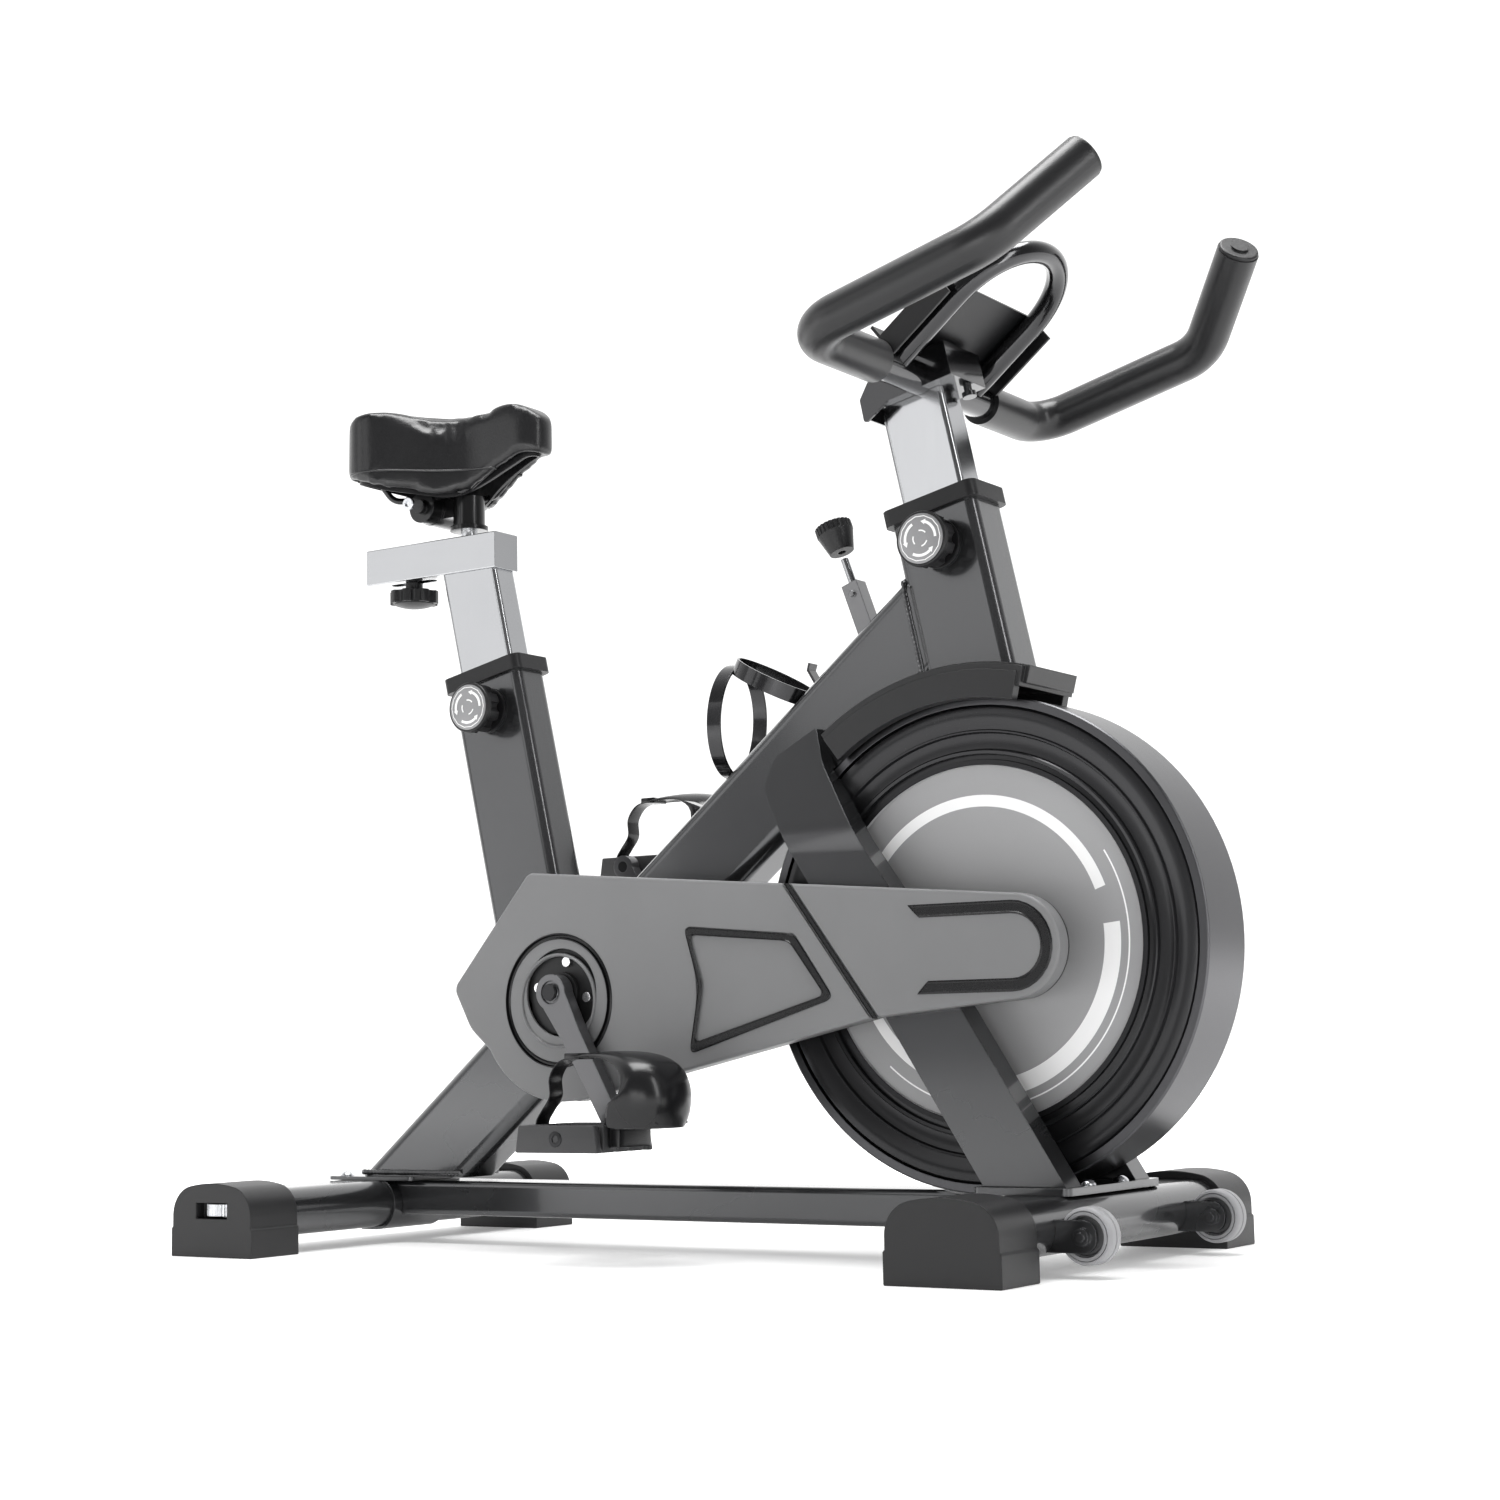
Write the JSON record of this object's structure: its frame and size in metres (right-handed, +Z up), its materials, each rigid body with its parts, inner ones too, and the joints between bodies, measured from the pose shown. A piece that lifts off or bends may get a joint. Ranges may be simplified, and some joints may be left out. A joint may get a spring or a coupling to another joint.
{
  "type": "indoor spin bike",
  "caption": "Indoor spin bike with a heavy perimeter flywheel, belt drive under a long cover, sliding saddle and handlebar posts, caged pedals, push brake knob and bottle cage.",
  "frame": {"origin": "on the floor, at the middle of the overall length and width", "axes": "+X towards the handlebar and flywheel, +Y towards the left side of the rider, +Z up"},
  "size_m": [1.0605, 0.524, 0.991],
  "materials": {
    "frame_paint": "gloss",
    "clamp_paint": "satin",
    "cap_plastic": "satin",
    "knob_plastic": "satin",
    "cover_plastic": "satin",
    "hood_plastic": "gloss",
    "pedal_plastic": "matte",
    "disc_plastic": "satin",
    "wheel_rubber": "matte",
    "belt_rubber": "matte",
    "grip_foam": "matte",
    "saddle_vinyl": "satin",
    "brake_felt": "matte",
    "chrome": "polished",
    "bolt_steel": "polished",
    "rim_steel": "brushed",
    "wheel_iron": "painted",
    "cage_metal": "satin",
    "crank_paint": "satin"
  },
  "bodies": {
    "frame": {"rear_stabilizer": "frame_paint", "front_stabilizer": "frame_paint", "front_caps": "cap_plastic", "rear_caps": "cap_plastic", "base_beam": "frame_paint", "stabilizer_plates": "frame_paint", "frame_bolts": "bolt_steel", "wheel_brackets": "frame_paint", "main_tube": "frame_paint", "seat_tube": "frame_paint", "head_tube": "frame_paint", "tube_collars": "knob_plastic", "fork_legs": "frame_paint", "bottom_bracket_shell": "frame_paint", "bearings": "bolt_steel", "chain_cover_outer": "cover_plastic", "chain_cover_inner": "cover_plastic", "wheel_guard": "cover_plastic", "bottle_cage": "cage_metal", "brake_housing": "cage_metal", "drive_belt": "belt_rubber"},
    "flywheel": {"flywheel_rim": "rim_steel", "flywheel_covers": "disc_plastic", "flywheel_web": "wheel_iron", "flywheel_axle": "bolt_steel"},
    "crankset": {"drive_pulley": "cage_metal", "crank_spindle": "bolt_steel", "right_crank_arm": "crank_paint", "left_crank_arm": "crank_paint", "crank_hardware": "bolt_steel"},
    "right_pedal": {"right_pedal_body": "pedal_plastic", "right_toe_cage": "hood_plastic"},
    "left_pedal": {"left_pedal_body": "pedal_plastic", "left_toe_cage": "hood_plastic"},
    "right_wheel": {"right_transport_wheel": "wheel_rubber"},
    "left_wheel": {"left_transport_wheel": "wheel_rubber"},
    "right_foot": {"right_level_foot": "knob_plastic"},
    "left_foot": {"left_level_foot": "knob_plastic"},
    "seat_column": {"seat_post": "chrome", "seat_slide_rail": "chrome"},
    "seat_slider": {"seat_carriage": "bolt_steel", "saddle_clamp": "clamp_paint"},
    "saddle": {"saddle_rails": "clamp_paint", "saddle_shell": "knob_plastic", "saddle_pad": "saddle_vinyl"},
    "slide_knob": {"seat_slide_knob": "knob_plastic"},
    "bars": {"bar_post": "chrome", "bar_bracket": "frame_paint", "handlebar": "frame_paint", "bar_grips": "grip_foam", "bar_end_plugs": "knob_plastic", "center_loop": "frame_paint", "console": "knob_plastic"},
    "seat_plunger": {"seat_pin": "bolt_steel"},
    "seat_plunger_knob": {"seat_pin_knob": "knob_plastic"},
    "head_plunger": {"head_pin": "bolt_steel"},
    "head_plunger_knob": {"head_pin_knob": "knob_plastic"},
    "brake_plunger": {"brake_rod": "chrome", "brake_pad": "brake_felt"},
    "brake_turn_knob": {"brake_knob": "knob_plastic"}
  },
  "joints": [
    {"name": "flywheel_spin", "type": "hinge", "parent": "frame", "child": "flywheel", "pos_m": [0.2982, 0, 0.295], "axis": [0, 1, 0], "continuous": true},
    {"name": "crank_spin", "type": "hinge", "parent": "frame", "child": "crankset", "pos_m": [-0.1425, 0, 0.26], "axis": [0, 1, 0], "continuous": true},
    {"name": "right_pedal_spin", "type": "hinge", "parent": "crankset", "child": "right_pedal", "pos_m": [-0.061, -0.177, 0.11884], "axis": [0, 1, 0], "continuous": true},
    {"name": "left_pedal_spin", "type": "hinge", "parent": "crankset", "child": "left_pedal", "pos_m": [-0.224, 0.177, 0.40116], "axis": [0, 1, 0], "continuous": true},
    {"name": "right_transport_spin", "type": "hinge", "parent": "frame", "child": "right_wheel", "pos_m": [0.4515, -0.135, 0.036], "axis": [0, 1, 0], "continuous": true},
    {"name": "left_transport_spin", "type": "hinge", "parent": "frame", "child": "left_wheel", "pos_m": [0.4515, 0.135, 0.036], "axis": [0, 1, 0], "continuous": true},
    {"name": "right_foot_turn", "type": "hinge", "parent": "frame", "child": "right_foot", "pos_m": [-0.4735, -0.24, 0.04], "axis": [0, 0, 1], "continuous": true},
    {"name": "left_foot_turn", "type": "hinge", "parent": "frame", "child": "left_foot", "pos_m": [-0.4735, 0.24, 0.04], "axis": [0, 0, 1], "continuous": true},
    {"name": "seat_height", "type": "slide", "parent": "frame", "child": "seat_column", "axis": [-0.213, 0, 0.977], "range_m": [0, 0.122]},
    {"name": "seat_fore_aft", "type": "slide", "parent": "seat_column", "child": "seat_slider", "axis": [1, 0, 0], "range_m": [-0.024, 0.024]},
    {"name": "saddle_tilt", "type": "hinge", "parent": "seat_slider", "child": "saddle", "pos_m": [-0.389, 0, 0.802], "axis": [0, 1, 0], "range_deg": [-8, 8]},
    {"name": "slide_knob_turn", "type": "hinge", "parent": "seat_slider", "child": "slide_knob", "pos_m": [-0.428, 0, 0.71], "axis": [0, 0, 1], "range_deg": [0, 540]},
    {"name": "bar_height", "type": "slide", "parent": "frame", "child": "bars", "axis": [-0.213, 0, 0.977], "range_m": [0, 0.073]},
    {"name": "seat_pin_pull", "type": "slide", "parent": "frame", "child": "seat_plunger", "axis": [0, -1, 0], "range_m": [0, 0.012], "stiffness_N_per_m": 700},
    {"name": "seat_pin_turn", "type": "hinge", "parent": "seat_plunger", "child": "seat_plunger_knob", "pos_m": [-0.30102, -0.04, 0.568], "axis": [0, 1, 0], "range_deg": [0, 540]},
    {"name": "head_pin_pull", "type": "slide", "parent": "frame", "child": "head_plunger", "axis": [0, -1, 0], "range_m": [0, 0.012], "stiffness_N_per_m": 700},
    {"name": "head_pin_turn", "type": "hinge", "parent": "head_plunger", "child": "head_plunger_knob", "pos_m": [0.2622, -0.045, 0.679], "axis": [0, 1, 0], "range_deg": [0, 540]},
    {"name": "brake_push", "type": "slide", "parent": "frame", "child": "brake_plunger", "axis": [0.342, 0, -0.9397], "range_m": [0, 0.0034], "stiffness_N_per_m": 2500},
    {"name": "brake_knob_turn", "type": "hinge", "parent": "brake_plunger", "child": "brake_turn_knob", "pos_m": [0.1304, 0, 0.70398], "axis": [-0.342, 0, 0.9397], "range_deg": [0, 1080]}
  ],
  "couplings": [
    {"joint": "crank_spin", "follows": "flywheel_spin", "ratio": 0.25}
  ]
}
